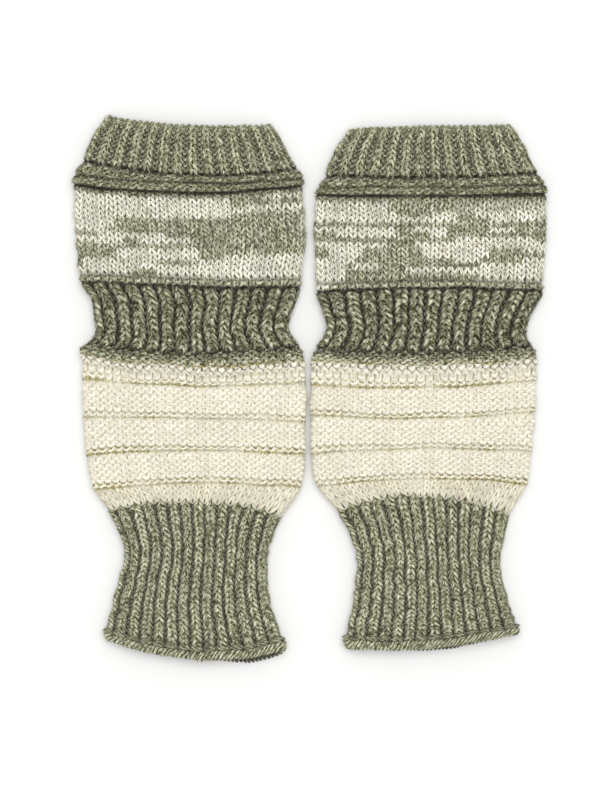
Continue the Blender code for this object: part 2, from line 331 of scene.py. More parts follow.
def softNoise(x, y, seed):
    # smooth unevenness from -1 to 1, the same each run
    table = np.random.default_rng(seed).uniform(-1, 1, (noiseCells, noiseCells))
    left, top = np.floor(x).astype(int), np.floor(y).astype(int)
    u, v = x - left, y - top
    u, v = u * u * (3 - 2 * u), v * v * (3 - 2 * v)
    corner = lambda i, j: table[(left + i) % noiseCells, (top + j) % noiseCells]
    upper = corner(0, 0) * (1 - u) + corner(1, 0) * u
    lower = corner(0, 1) * (1 - u) + corner(1, 1) * u
    return upper * (1 - v) + lower * v


def strayed(kind, column, row, seed):
    share, columns, rows, columnStart, rowStart, step = wander[kind]
    return share * softNoise(column / columns + columnStart, row / rows + rowStart, seed + step)


def smoothLine(lines, stretch, share):
    # the cross line a share of the way from one line to the next, on a smooth outline through them all
    places = [-line[2] for line in lines]
    reach = places[stretch + 1] - places[stretch]

    def slope(at):
        before, after = max(at - 1, 0), min(at + 1, len(lines) - 1)
        return (np.array(lines[after]) - lines[before]) / (places[after] - places[before]) * reach

    low, high = np.array(lines[stretch]), np.array(lines[stretch + 1])
    t, u = share, 1 - share
    fromLow = u * u * ((1 + 2 * t) * low + t * slope(stretch))
    fromHigh = t * t * ((1 + 2 * u) * high - u * slope(stretch + 1))
    return fromLow + fromHigh


# The tables that the knitting is read from, and how many of their steps each height takes to change
rowStep = 0.125
softSteps = {"lift": 2, "rib": 6, "sink": 6, "warp": 5, "crest": 8}
placesPerRow = 12  # at which the cross lines are worked out
besideLine = 0.5  # rows beside an inner cross line whose height is the band's pace


def softened(values, reach):
    kernel = np.hanning(2 * reach + 3)[1:-1]
    return np.convolve(np.pad(values, reach, mode="edge"), kernel / kernel.sum(), mode="valid")


def knittingTables(side):
    # where each row of a glove lies and how high its knitting stands
    at, lines, creases = [], [], []
    heights = {"lift": [], "rib": [], "sink": [], "warp": []}
    start = 0.0
    for band in bands:
        band["firstRow"] = start
        bandLines = [crossLines[name][gloves.index(side)] for name in band["lines"]]
        ribEnd = start + sum(band["rows"]) - band.get("purlEnd", 0.0)
        creases += [(start + row, depth, width) for row, depth, width in band.get("creases", ())]
        for stretch, rows in enumerate(band["rows"]):
            shares = np.linspace(0, 1, int(rows * placesPerRow) + 2)
            beside = (shares * rows < besideLine) & (stretch > 0)
            beside |= ((1 - shares) * rows < besideLine) & (stretch < len(band["rows"]) - 1)
            travelled = np.cumsum(np.where(beside, band.get("pace", 1.0), 1.0))
            travelled = (travelled - travelled[0]) / (travelled[-1] - travelled[0])
            for share, place in list(zip(shares, travelled))[:-1]:
                at.append(start + share * rows)
                lines.append(smoothLine(bandLines, stretch, place))
                heights["lift"].append(band["lift"][stretch])
                for name in ("rib", "sink", "warp"):
                    heights[name].append(band.get(name, 0.0) * (at[-1] < ribEnd))
            start += rows
    grid = np.arange(0, start + rowStep / 2, rowStep)
    table = {"end": start, "row": grid, "backEdge": backEdge[side]}
    table["line"] = [np.interp(grid, at, column) for column in np.array(lines).T]
    for name, values in heights.items():
        table[name] = softened(np.interp(grid, at, values), softSteps[name])
    high = table["lift"] + table["rib"] - table["sink"]
    reach = softSteps["crest"]
    crest = [high[max(i - reach, 0) : i + reach + 1].max() for i in range(len(high))]
    table["crest"] = softened(np.array(crest), reach)
    table["crease"] = sum(depth * np.exp(-(((grid - row) / width) ** 2)) for row, depth, width in creases)
    return table


def readRow(table, values, row):
    # a value at any row, going on straight past both ends
    inside = np.clip(row, 0, table["end"])
    past = row - inside
    steep = np.where(past < 0, values[4] - values[0], values[-1] - values[-5]) / (4 * rowStep)
    return np.interp(inside, table["row"], values) + past * steep


def sideLines(table, row):
    return [readRow(table, values, row) for values in table["line"]]


def lineY(lines, share):
    leftX, leftY, midY, rightX, rightY = lines
    rest = 1 - share
    return leftY * rest * (rest - share) + rightY * share * (share - rest) + 4 * midY * share * rest


def backDrop(table, share, row):
    # how far down the back panel's wrist edge hangs out
    reach, middle, spread = table["backEdge"]
    near = np.clip((row - table["end"] + backRows) / backRows, 0, 1)
    return reach * near * near * np.exp(-(((share - middle) / spread) ** 2))


quarterFold = math.pi / 2 * math.hypot(cloth["foldRun"], cloth["thickness"] / 2) / math.sqrt(2)


def onGlove(table, column, row, out, inset, seed):
    # Where a point of the knitting lies, and how deep it is. Columns 0 to 28 are the upper face from fold to
    # fold, and those before and after go on round the folds and under the glove. out is off the middle of
    # the stitches.
    columns, half, foldRun = cloth["faceColumns"], cloth["thickness"] / 2, cloth["foldRun"]
    at = lambda name: np.interp(row, table["row"], table[name])
    warped = column - at("warp") * np.cos(np.pi * column)
    warped = warped + strayed("columns", column, row, seed) + strayed("columnJitter", column, row, seed)
    wavyRow = row + strayed("rows", column, row, seed) + strayed("rowJitter", column, row, seed)
    lines = sideLines(table, wavyRow)
    leftX = lines[0] + strayed("leftSide", row, 0 * row, seed)
    rightX = lines[3] + strayed("rightSide", row, 0 * row, seed)
    width = rightX - leftX
    over = np.where((warped >= 0) & (warped <= columns), 1.0, -1.0)
    folded = np.where(warped < 0, -warped, np.where(warped > columns, 2 * columns - warped, warped))
    around = 2 * quarterFold + width - 2 * foldRun
    along = folded / columns * around
    onLeft = along < around / 2
    nearest = np.minimum(along, around - along)
    angle = np.minimum(nearest / quarterFold, 1) * np.pi / 2
    inward = foldRun * (1 - np.cos(angle)) + np.maximum(nearest - quarterFold, 0)
    x = np.where(onLeft, leftX + inward, rightX - inward)
    up = over * np.sin(angle)
    share = (x - leftX) / width
    rise = at("lift") - at("sink") + at("rib") * (0.5 + 0.5 * np.sin(np.pi * column))
    rise = rise + strayed("height", column, row, seed)
    rise = rise - at("crease") * (cloth["creaseShare"] + strayed("creases", column, row, seed))
    off = out - inset + rise * (1 + up) / 2
    normalX, normalZ = np.where(onLeft, -1, 1) * np.cos(angle) / foldRun, up / half
    size = np.hypot(normalX, normalZ)
    crown = 4 * cloth["crown"] * share * (1 - share) * np.maximum(up, 0)
    z = half * (1 + up) + off * normalZ / size + crown
    y = lineY(lines, share) - backDrop(table, share, row) * np.clip(-up, 0, 1)
    return x + off * normalX / size, y, np.maximum(z, cloth["floorGap"]), at("crest") - rise - out


# Half of a stitch's path: share of the column, share of the row, and share of the stitch's depth.
# A knit stitch's leg comes up through the loop above, runs down in front, and turns behind the next row.
# A purl stitch's legs run behind, and its head, at the bottom, stands out as a bump.
stitchPaths = {
    "knit": (
        (-0.50, -0.36, -1.0), (-0.28, -0.28, -0.9), (-0.09, -0.05, -0.1), (-0.12, 0.25, 0.9),
        (-0.29, 0.64, 1.1), (-0.43, 0.98, 0.6), (-0.40, 1.22, -0.4), (-0.20, 1.40, -1.0), (0.0, 1.46, -1.0),
    ),
    "purl": (
        (-0.50, -0.36, 0.4), (-0.28, -0.28, 0.3), (-0.11, -0.04, -0.4), (-0.13, 0.26, -1.0),
        (-0.29, 0.64, -1.1), (-0.40, 0.94, -0.5), (-0.34, 1.16, 0.5), (-0.19, 1.34, 1.15), (0.0, 1.40, 1.4),
    ),
}
# How a stitch's yarn is made
swept = {
    "depth": 0.55,  # from the middle of the stitches to their front, where the band has no depth
    "steps": 900,  # along a path of three stitches
    "soften": 22,  # of these steps
    "flatness": 0.82,  # of the yarn's section
    "faces": {"turn": (12, 6), "knit": (13, 5), "purl": (12, 5), "ribPurl": (9, 5)},  # along and round it
    "join": 0.002,  # how near the ends of two stitches' yarn are joined, in columns and rows
    "headStart": 0.7,  # rows under a stitch's own where its head starts, and in how many it is all head
    "headRun": 0.3,
}


def loopPath(kind, ribbed, depth):
    # one stitch's path with its two neighbours', so that its ends meet theirs
    half = np.array(stitchPaths[kind])
    path = np.vstack([half, half[-2::-1] * (-1, 1, 1)]) * (1, 1, depth)
    if not ribbed:
        return np.vstack([path + (-1, 0, 0), path[1:-1], path + (1, 0, 0)])
    path[[0, -1], 2] = 0  # between the front and the back of the rib
    turned = path * (1, 1, -1)
    return np.vstack([turned + (-1, 0, 0), path[1:-1], turned + (1, 0, 0)])


def coilPath(reach, radius, height, pitch, lean):
    # one turn of a yarn that is wound round an edge, leaning in front, with its neighbours
    turn = np.linspace(-1.5, 1.5, 91)
    across = (turn + lean * np.sin(2 * np.pi * turn)) * pitch
    down = -reach / height * np.sin(2 * np.pi * turn)
    return np.stack([across, down, radius * np.cos(2 * np.pi * turn)], 1)


def lengthAlong(points):
    return np.r_[0, np.cumsum(np.linalg.norm(np.diff(points, axis=0), axis=1))]


def readPoints(points, places):
    # the points at places between their numbers
    return np.stack([np.interp(places, np.arange(len(points)), part) for part in points.T], 1)


def sweptStitch(path, band, faceKind):
    # the yarn of one stitch, swept along the middle third of its path, in columns and rows
    segments, sides = swept["faces"][faceKind]
    scale = np.array((*band["cell"], 1.0))
    along = lengthAlong(path * scale)
    evenly = np.linspace(0, along[-1], swept["steps"] + 1)
    dense = [softened(np.interp(evenly, along, part), swept["soften"]) for part in path.T]
    dense = np.stack(dense, 1) * scale
    start, end = swept["steps"] // 3, swept["steps"] * 2 // 3 + 1
    run = lengthAlong(dense[start:end])
    picks = np.interp(np.linspace(0, run[-1], segments + 1), run, np.arange(start, end))
    middle, ahead = readPoints(dense, picks), readPoints(np.gradient(dense, axis=0), picks)
    ahead /= np.linalg.norm(ahead, axis=1, keepdims=True)
    upward = np.array((0, 0, 1.0)) - ahead * ahead[:, 2:]
    upward /= np.linalg.norm(upward, axis=1, keepdims=True)
    turns = -np.pi / 2 + 2 * np.pi * np.arange(sides) / sides
    section = np.cross(ahead, upward)[:, None] * np.cos(turns)[None, :, None]
    section = section + upward[:, None] * (swept["flatness"] * np.sin(turns))[None, :, None]
    points = ((middle[:, None] + band["yarn"] * section) / scale).reshape(-1, 3)
    centres = np.repeat(middle / scale, sides, axis=0)
    faces, places = [], []
    for i in range(segments):
        for k in range(sides):
            corners = ((i, k), (i + 1, k), (i + 1, k + 1), (i, k + 1))
            faces.append([ring * sides + side % sides for ring, side in corners])
            places += [(ring / segments, side / sides) for ring, side in corners]
    mesh = bpy.data.meshes.new("stitch")
    mesh.from_pydata(points.tolist(), [], faces)
    writeMap(mesh, places)
    write(mesh, "toHeart", centres - points, "FLOAT_VECTOR")
    return newObject("stitch", mesh)


def newTree(name, inputs, output):
    # an empty Geometry Nodes tree with named inputs
    tree = bpy.data.node_groups.new(name, "GeometryNodeTree")
    for label, kind in inputs.items():
        tree.interface.new_socket(label, in_out="INPUT", socket_type="NodeSocket" + kind)
    tree.interface.new_socket(output, in_out="OUTPUT", socket_type="NodeSocketGeometry")
    return tree, add(tree, "NodeGroupInput")


def named(tree, name, kind="FLOAT"):
    return add(tree, "GeometryNodeInputNamedAttribute", {"data_type": kind}, {"Name": name})


def repeated(tree, thing, inputs):
    # an object on each chosen point, as real geometry
    shape = add(tree, "GeometryNodeObjectInfo", {}, {"Object": thing, "As Instance": True}, "Geometry")
    return add(tree, "GeometryNodeInstanceOnPoints", {}, {**inputs, "Instance": shape})


def storedMap(tree, geometry, shift, operation, inputs):
    # moves each stitch or hair to its own place on the bake map
    shifted = vectorMaths(tree, "ADD", {0: named(tree, bakeMap, "FLOAT_VECTOR"), 1: shift})
    place = vectorMaths(tree, operation, {0: shifted, **inputs})
    values = {"Geometry": geometry, "Name": bakeMap, "Value": place}
    return add(tree, "GeometryNodeStoreNamedAttribute", {"data_type": "FLOAT2", "domain": "CORNER"}, values)


def endTree(tree, geometry, material):
    finished = add(tree, "GeometryNodeSetMaterial", {}, {"Geometry": geometry, "Material": material})
    tree.links.new(finished.socket, tree.nodes.new("NodeGroupOutput").inputs[0])


def grown(tree, start, given):
    # the plain mesh that a tree makes of a starting mesh and its inputs
    holder = newObject("holder", start)
    modifier = holder.modifiers.new("grow", "NODES")
    modifier.node_group = tree
    for item in tree.interface.items_tree:
        if item.name in given:
            modifier[item.identifier] = given[item.name]
    mesh = bpy.data.meshes.new_from_object(holder.evaluated_get(bpy.context.evaluated_depsgraph_get()))
    bpy.data.objects.remove(holder)
    return mesh


def knitTree():
    # Geometry Nodes that set a stitch on each point, join the rows' yarn and close its ends
    tree, given = newTree("rows of stitches", {
        "Places": "Geometry", "Knit Stitch": "Object", "Purl Stitch": "Object", "First Column": "Float",
        "Last Column": "Float", "Stitches": "Float", "Rows": "Float", "Join Distance": "Float",
        "Yarn": "Material",
    }, "Knitting")
    purl = named(tree, "purl")
    joined = add(tree, "GeometryNodeJoinGeometry")
    for kind, isKind in (("Knit Stitch", "LESS_THAN"), ("Purl Stitch", "GREATER_THAN")):
        chosen = {"Points": given, "Selection": maths(tree, isKind, purl, 0.5)}
        stitches = repeated(tree, given.output(kind), chosen)
        tree.links.new(stitches.socket, joined.socket.node.inputs[0])
    real = add(tree, "GeometryNodeRealizeInstances", {}, {"Geometry": joined})
    cell = vector(tree, named(tree, "stitch"), named(tree, "row"), 0.0)
    size = vector(tree, given.output("Stitches"), given.output("Rows"), 1.0)
    mapped = storedMap(tree, real, cell, "DIVIDE", {1: size})
    first, last = given.output("First Column"), given.output("Last Column")
    toHeart = named(tree, "toHeart", "FLOAT_VECTOR")
    across = add(tree, "ShaderNodeSeparateXYZ", {}, {0: add(tree, "GeometryNodeInputPosition")})
    middle = across + add(tree, "ShaderNodeSeparateXYZ", {}, {0: toHeart})
    fromMiddle = maths(tree, "ABSOLUTE", middle - (first + last) * 0.5)
    atEnd = maths(tree, "GREATER_THAN", fromMiddle, (last - first) * 0.5 - 0.001)
    ends = {"Geometry": mapped, "Selection": atEnd, "Offset": toHeart}
    closed = add(tree, "GeometryNodeSetPosition", {}, ends)
    near = {"Geometry": closed, "Distance": given.output("Join Distance")}
    merged = add(tree, "GeometryNodeMergeByDistance", {}, near)
    endTree(tree, add(tree, "GeometryNodeSetShadeSmooth", {}, {0: merged}), given.output("Yarn"))
    return tree


yarnLook = {
    "strands": 4.0,  # plies round the yarn
    "twist": 1.8,  # plies passed in a stitch
    "ragged": 0.4,  # how far the grain moves a ply's edge
    "fleckRun": 8.0,  # flecks along a stitch's yarn
    "flecks": 3.2,  # how sharply the fibres differ
    "rowShift": 7.3,  # of the flecks, from one row to the next
    "shadeShift": 2.0,
    "grain": 1500.0,
    "grainShare": 0.6,
    "roughGrain": 0.6,
    "paintedPlyShade": 0.8,  # painted shade between its plies
    # how fast painted shade grows with the yarn's depth
    "paintedShadePower": 1.15,
    "plyHeight": 0.6,
    "grainHeight": 0.5,
    "bump": 0.8,
    "bumpDistance": 0.15,
    "finish": {"Roughness": 0.9, "Specular IOR Level": 0.25, "Sheen Weight": 0.1, "Sheen Roughness": 0.5},
    "shadeSpread": 0.7,  # of one stitch's brightness from the next
    "toneSpread": 0.1,  # and of its paleness in a marl band
}


def yarnMaterial(name, band, stitches, rows):
    # spun marl yarn with flecks along its plies, its own or in paler yarn where the stitches say so, with
    # painted shade between its plies and where it lies deep
    look = yarnLook
    material, tree, shader = newMaterial(name, look["finish"])
    place = add(tree, "ShaderNodeSeparateXYZ", {}, {0: add(tree, "ShaderNodeUVMap", {"uv_map": bakeMap})})
    along, around = place * stitches, place.output("Y") * rows
    row = maths(tree, "FLOOR", around)
    shade = attribute(tree, "shade")
    spin = (around - row) * look["strands"] + along * look["twist"]
    apart = row * look["rowShift"] + shade * look["shadeShift"]
    strand = vector(tree, along * look["fleckRun"], spin, apart)
    fleck = (noise(tree, strand, 1.0, look["roughGrain"]) - 0.5) * look["flecks"] + 0.5
    grain = noise(tree, add(tree, "ShaderNodeTexCoord", output="Object"), look["grain"], look["roughGrain"])
    swell = maths(tree, "ABSOLUTE", maths(tree, "SINE", (spin + grain * look["ragged"]) * math.pi))

    def fibres(plies):
        pale, middle, dark = (linear(colour) for colour in plies)
        return mixed(tree, fleck * 2 - 1, mixed(tree, fleck * 2, dark, middle), pale)

    colour = fibres(band["plies"])
    for plies, share in (("creamPlies", "tone"), ("tanAndShadePlies", "tan")):
        if plies in band:
            colour = mixed(tree, attribute(tree, share), colour, fibres(band[plies]))
    contrast = band.get("contrast", 1.0)
    light = 1 + shade * band["shades"] + (grain - 0.5) * look["grainShare"] * contrast
    # painted shade between the plies
    light = light * (1 - look["paintedPlyShade"] * contrast * (1 - swell) ** 2)
    # painted shade: darker the deeper the yarn lies under its ribs' crests and in its furrows
    light = light * (1 - attribute(tree, "deep") ** look["paintedShadePower"] * band["paintedShade"])
    colour = vectorMaths(tree, "SCALE", {0: colour, "Scale": light})
    height = swell * look["plyHeight"] + grain * look["grainHeight"]
    painted(tree, shader, colour, height, look["bump"], look["bumpDistance"])
    return material


def stitchPlaces(band, side, seed):
    # a point for each stitch of a band, with what its yarn is
    lastColumn = cloth["faceColumns"] - 1
    if band["stitch"] == "coil":
        first, last, rows = -cloth["faceColumns"], cloth["faceColumns"], 1
        stitch, row = np.arange(band["turns"]), np.zeros(band["turns"], int)
        column = first + (stitch + 0.5) * (last - first) / band["turns"]
        down = row + band["place"]
    else:
        first, last, rows = -1, cloth["faceColumns"] + 1, round(sum(band["rows"]))
        stitch, row = (grid.ravel() for grid in np.meshgrid(np.arange(last - first), np.arange(rows)))
        column = first + stitch + 0.5
        down = row
    number = stitch + first
    purl = {
        "rib": np.where(row < rows - band.get("purlEnd", 0.0), number % 2, 1),
        "welt": 1 - np.isin(row, band.get("knitRows", ())),
        "plain": np.isin(row, band.get("purlRows", ())),
        "coil": 0 * row,
    }
    values = {"stitch": stitch, "row": row, "purl": purl[band["stitch"]], "tone": 0.0 * row, "tan": 0.0 * row}
    # tan legs in the furrows: partly a tan tint, partly painted shade
    for at, share in band.get("tanAndShadeRows", {}).items():
        patchy = np.clip(band["tanShare"] + strayed("tan", number, row, seed), 0, 1)
        values["tan"] = values["tan"] + share * (row == at) * patchy
    for top, bottom, left, right, pale in band.get("streaks", {}).get(side, ()):
        left, right = left - (left == 0), right + (right == lastColumn)  # on round the fold
        inside = (row >= top) & (row <= bottom) & (number >= left) & (number <= right)
        values["tone"] = np.where(inside, np.maximum(values["tone"], pale), values["tone"])
    random = np.random.default_rng(seed)
    uneven = random.normal(0, yarnLook["shadeSpread"], len(row))
    values["shade"] = np.clip(uneven + strayed("shades", number, row, seed), -2, 2)
    if "streaks" in band:
        uneven = random.normal(0, yarnLook["toneSpread"], len(row))
        values["tone"] = np.clip(values["tone"] + uneven, 0, 1)
    mesh = bpy.data.meshes.new("places")
    mesh.from_pydata(np.stack([column, down, 0 * row], 1).tolist(), [], [])
    for name, value in values.items():
        write(mesh, name, value)
    return mesh, first, last, len(np.unique(stitch)), rows


def shapeHeads(knitted, band, first, column, row, out):
    # a purl row's cream beads, rows of heads that are moved down, and tan legs, which are partly painted
    # shade
    own = read(knitted, "row")
    if "creamHeads" in band:
        aside = column - (first + read(knitted, "stitch") + 0.5)
        heads = np.isin(np.round(own), band["creamHeads"]) & (row - own > band["beadTop"])
        heads = heads & (abs(aside) < band["beadHalf"])
        write(knitted, "tone", heads)
        fatter = heads * band["beadSwell"] * np.exp(-((aside / band["beadRound"]) ** 2))
        column, row, out = np.array((column, row, out)) - read(knitted, "toHeart").T * fatter
    for at, shift in band.get("headShift", {}).items():
        isHead = np.clip((row - own - swept["headStart"]) / swept["headRun"], 0, 1)
        row = row + shift * (np.round(own) == at) * isHead
    if "tanAndShadeRows" in band:
        write(knitted, "tan", read(knitted, "tan") * (row - own < band["tanReach"]))
    return column, row, out


# Loose fibres that stand out of the yarn all over
fuzz = {
    "hairs": 14000,  # on a glove
    "onFace": 0.035,  # how thick they stand on its face, at its sides and on its top edge
    "onSides": 0.4,
    "onTopEdge": 0.8,
    "sideColumns": 0.9,  # how wide its sides are
    "topRows": 0.3,
    "lowest": 1.2,  # height over the floor where they start, and how much higher they are all there
    "lowRun": 1.5,
    "length": (0.9, 2.8),
    "thickness": 0.24,
    "lean": 1.25,  # radians from straight up, at most
    "mapSide": 128.0,  # hairs along a side of the bake map
    "finish": {"Roughness": 0.8},
    "seed": 11,
}


def knitBand(side, table, band, tree, seed, name):
    # one band's stitches as one mesh, laid on the glove
    places, first, last, stitches, rows = stitchPlaces(band, side, seed)
    ribbed = band["stitch"] == "rib"
    if band["stitch"] == "coil":
        path = coilPath(*band["coil"], band["cell"][1], (last - first) / stitches, band["lean"])
        shapes = [sweptStitch(path, band, "turn")] * 2
    else:
        depth = band.get("depth", swept["depth"])
        shapes = [sweptStitch(loopPath("knit", ribbed, depth), band, "knit"),
                  sweptStitch(loopPath("purl", ribbed, depth), band, "ribPurl" if ribbed else "purl")]
    if "material" not in band:
        band["material"] = yarnMaterial(name.replace("_", " "), band, float(stitches), float(rows))
    knitted = grown(tree, places, {
        "Knit Stitch": shapes[0], "Purl Stitch": shapes[1], "First Column": float(first),
        "Last Column": float(last), "Stitches": float(stitches), "Rows": float(rows),
        "Join Distance": swept["join"], "Yarn": band["material"],
    })
    for used in set(shapes):
        bpy.data.objects.remove(used)
    column, row, out = read(knitted, "position").T.astype(float)
    column, row, out = shapeHeads(knitted, band, first, column, row, out)
    row = row + band.get("beside", band)["firstRow"]
    inset = band.get("inset", cloth["yarnInset"])
    x, y, z, deep = onGlove(table, column, row, out, inset, cloth["seed"] + 10 * gloves.index(side))
    write(knitted, "position", np.stack([x + pairShift[0], y + pairShift[1], z], 1) * mm)
    # how deep the yarn lies, which sets its painted shade and how few loose fibres stand there
    deep = np.clip((deep - cloth["darkFrom"]) / cloth["darkRun"], 0, 1)
    write(knitted, "deep", deep)
    fromFold = np.minimum(abs(column), abs(cloth["faceColumns"] - column))
    beside = np.exp(-((fromFold / fuzz["sideColumns"]) ** 2))
    nap = (fuzz["onFace"] + fuzz["onSides"] * beside) * (1 - deep) ** 2
    nap = np.maximum(nap, fuzz["onTopEdge"] * (row < fuzz["topRows"]))
    write(knitted, "nap", nap * np.clip((z - fuzz["lowest"]) / fuzz["lowRun"], 0, 1))
    dyeAndShade = np.array([linear(band["plies"][1])] * len(x))
    if "creamPlies" in band:
        dyeAndShade += (np.array(linear(band["creamPlies"][1])) - dyeAndShade) * read(knitted, "tone")[:, None]
    write(knitted, "dyeAndShade", dyeAndShade, "FLOAT_COLOR")
    for extra in ("stitch", "row", "purl", "toHeart"):
        knitted.attributes.remove(knitted.attributes[extra])
    knitted.update()
    piece = newObject(side + "_" + name, knitted)
    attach(piece, "root")
    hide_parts(side + "_" + band["node"])
    return piece


def fuzzTree():
    # Geometry Nodes that stand a hair on each of many random points of the yarn
    tree, given = newTree("loose fibres", {
        "Geometry": "Geometry", "Yarn Pieces": "Collection", "Hair": "Object",
        "Hairs per Square Metre": "Float", "Shortest": "Float", "Longest": "Float", "Lean": "Float",
        "Grid": "Float", "Seed": "Int", "Fibre": "Material",
    }, "Fuzz")
    seed, grid = given.output("Seed"), given.output("Grid")

    def chance(low, high, step):
        # a number between the two for each hair
        inputs = {2: low, 3: high, "Seed": seed + step}
        return add(tree, "FunctionNodeRandomValue", {"data_type": "FLOAT"}, inputs, 1)

    def turned(rotation, x, z):
        inputs = {0: rotation, 1: vector(tree, x, 0.0, z)}
        return add(tree, "FunctionNodeRotateRotation", {"rotation_space": "LOCAL"}, inputs)

    pieces = add(tree, "GeometryNodeCollectionInfo", {}, {"Collection": given.output("Yarn Pieces")})
    yarn = add(tree, "GeometryNodeRealizeInstances", {}, {"Geometry": pieces})
    density = named(tree, "nap") * given.output("Hairs per Square Metre")
    scatter = {"Mesh": yarn, "Density": density, "Seed": seed}
    points = add(tree, "GeometryNodeDistributePointsOnFaces", {}, scatter)
    numbers = {"Geometry": points, "Name": "number", "Value": add(tree, "GeometryNodeInputIndex")}
    perPoint = {"data_type": "FLOAT", "domain": "POINT"}
    numbered = add(tree, "GeometryNodeStoreNamedAttribute", perPoint, numbers)
    lean = chance(0.0, 1.0, 1) * given.output("Lean")
    leaned = turned(turned(points.output("Rotation"), 0.0, chance(0.0, 2 * math.pi, 2)), lean, 0.0)
    size = vector(tree, 1.0, 1.0, chance(given.output("Shortest"), given.output("Longest"), 3))
    stood = repeated(tree, given.output("Hair"), {"Points": numbered, "Rotation": leaned, "Scale": size})
    real = add(tree, "GeometryNodeRealizeInstances", {}, {"Geometry": stood})
    number = named(tree, "number")
    line = maths(tree, "FLOOR", number / grid)
    cell = vector(tree, number - line * grid, line, 0.0)
    endTree(tree, storedMap(tree, real, cell, "SCALE", {"Scale": 1 / grid}), given.output("Fibre"))
    return tree


def fibreMaterial():
    material, tree, shader = newMaterial("loose fibre", fuzz["finish"])
    painted(tree, shader, attribute(tree, "dyeAndShade", "Color"))
    return material


def hairShape():
    # a needle of unit height, three faces and a foot
    radius = fuzz["thickness"] / 2 * mm
    turns = (0, 2 * math.pi / 3, 4 * math.pi / 3)
    corners = [(radius * math.cos(turn), radius * math.sin(turn), 0) for turn in turns]
    mesh = bpy.data.meshes.new("hair")
    mesh.from_pydata(corners + [(0, 0, mm)], [], [(0, 1, 3), (1, 2, 3), (2, 0, 3), (2, 1, 0)])
    writeMap(mesh, ((0.1, 0.1), (0.9, 0.1), (0.5, 0.9)) * 4)
    return newObject("hair", mesh)


def nappedArea(mesh):
    # the area of its faces, each by how thick the hairs stand on it
    count = len(mesh.polygons)
    areas, starts, corners = np.zeros(count), np.zeros(count, int), np.zeros(len(mesh.loops), int)
    mesh.polygons.foreach_get("area", areas)
    mesh.polygons.foreach_get("loop_start", starts)
    mesh.loops.foreach_get("vertex_index", corners)
    return float(np.sum(areas * read(mesh, "nap")[corners[starts]]))


def growFuzz(side, yarns, tree, fibre, seed):
    together = bpy.data.collections.new(side + " yarn")
    for piece in yarns:
        together.objects.link(piece)
    hair = hairShape()
    mesh = grown(tree, bpy.data.meshes.new("points"), {
        "Yarn Pieces": together, "Hair": hair,
        "Hairs per Square Metre": fuzz["hairs"] / sum(nappedArea(piece.data) for piece in yarns),
        "Shortest": fuzz["length"][0], "Longest": fuzz["length"][1], "Lean": fuzz["lean"],
        "Grid": fuzz["mapSide"], "Seed": seed, "Fibre": fibre,
    })
    spots = read(mesh, "position")
    spots[:, 2] = np.maximum(spots[:, 2], cloth["floorGap"] * mm)
    write(mesh, "position", spots)
    mesh.update()
    bpy.data.objects.remove(hair)
    bpy.data.collections.remove(together)
    piece = newObject(side + "_loose_fibres", mesh)
    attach(piece, "root")
    return piece


# The plain cloth behind the stitches: a thin closed tube, which also makes the underside
lining = {
    "upper": 1.75,  # from the cloth's surface down to the lining
    "side": 1.8,  # and in from its sides
    "round": 1.6,
    "under": 1.4,  # thickness of the under panel
    "slot": 0.5,  # between the panels, and how much further in and how round its sides are
    "slotSide": 1.0,
    "slotRound": 0.3,
    "topRows": 0.4,  # left free at both ends
    "endRows": 0.6,
    "spans": 28,
    "foldSteps": 4,
    "paintedShadeBehind": 0.22,  # painted shade on what lies behind the stitches
    "wallMap": (0.02, 0.96),  # where its walls start on the bake map, and their height there
    "endMap": (0.0, 0.99, 0.01),  # where its two ends start there, and theirs
    "legs": (0.12, 0.28, 5),  # half a drawn stitch's width at its top, how much wider it gets, its thinness
    "light": (0.45, 0.6),  # painted shade between its legs, and how much lighter the legs are
    "grainLight": (0.6, 0.8),
    "grainHeight": 0.3,
    "grain": 1100.0,
    "bump": 0.9,
    "bumpDistance": 0.5,
    "finish": {"Roughness": 0.9},
}


def liningLoop(table, row, inner):
    # the points of one row's outer or inner loop, with their columns and how far up the loop they are
    lines = [float(value) for value in sideLines(table, np.array(row))]
    leftX, rightX = lines[0], lines[3]
    steps = np.linspace(0, 1, lining["spans"] + 1)
    turns = np.linspace(-np.pi / 2, np.pi / 2, lining["foldSteps"] + 2)[1:-1]
    if inner:
        low, high = lining["under"], lining["under"] + lining["slot"]
        edge, run = lining["side"] + lining["slotSide"], lining["slotRound"]
    else:
        low, high = 0.0, cloth["thickness"] - lining["upper"]
        edge, run = lining["side"], lining["round"]
    start, end = leftX + edge + run, rightX - edge - run
    across = start + (end - start) * steps
    foldUp = (low + high) / 2 + (high - low) / 2 * np.sin(turns)
    right, left = end + run * np.cos(turns), start - run * np.cos(turns)
    x = np.concatenate([across, right, across[::-1], left[::-1]])
    over = np.concatenate([0 * steps, 0.5 + 0 * turns, 1 + 0 * steps, 0.5 + 0 * turns])
    z = np.concatenate([low + 0 * steps, foldUp, high + 0 * steps, foldUp[::-1]])
    share = (x - leftX) / (rightX - leftX)
    z = z + 4 * cloth["crown"] * share * (1 - share) * (over > 0.75)
    y = lineY(lines, share) - backDrop(table, share, row) * (over < 0.25)
    return np.stack([x, y, z], 1), share * cloth["faceColumns"], over


